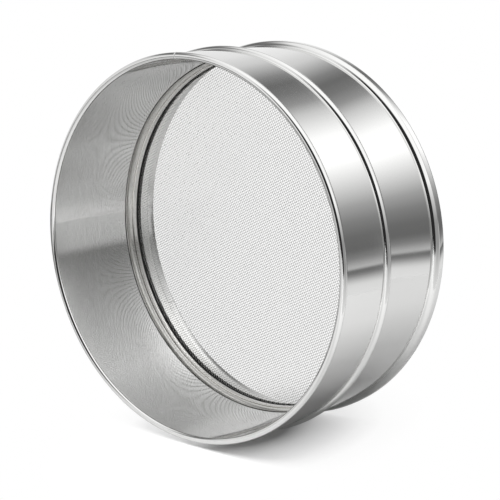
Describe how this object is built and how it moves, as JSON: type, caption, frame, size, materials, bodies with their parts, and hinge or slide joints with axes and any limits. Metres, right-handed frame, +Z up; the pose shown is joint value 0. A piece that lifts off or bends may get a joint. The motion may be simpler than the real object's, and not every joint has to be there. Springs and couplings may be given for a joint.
{
  "type": "flour sieve",
  "caption": "Round drum flour sieve of polished stainless steel: an inner hoop in a beaded outer shell, with a fine woven wire cloth clamped low inside.",
  "frame": {"origin": "middle of the flat face of the lower rim that the sieve stands on", "axes": "+Z up along the drum's axis, from the lower rim to the open upper rim; X and Y across the drum"},
  "size_m": [0.2036, 0.2036, 0.082],
  "materials": {
    "polished_steel": "mirror polished stainless steel sheet",
    "satin_steel": "brushed stainless steel strip",
    "drawn_wire": "bright drawn steel wire",
    "cloth_wire": "bright woven stainless steel wire",
    "black_rubber": "matt"
  },
  "bodies": {
    "root": {"upper_hoop": "polished_steel", "upper_rim_wire": "drawn_wire", "lower_hoop": "polished_steel", "lower_rim_wire": "drawn_wire", "wire_cloth": "cloth_wire", "edge_seal": "black_rubber", "press_ring": "satin_steel", "seat_ring": "satin_steel"}
  },
  "joints": []
}
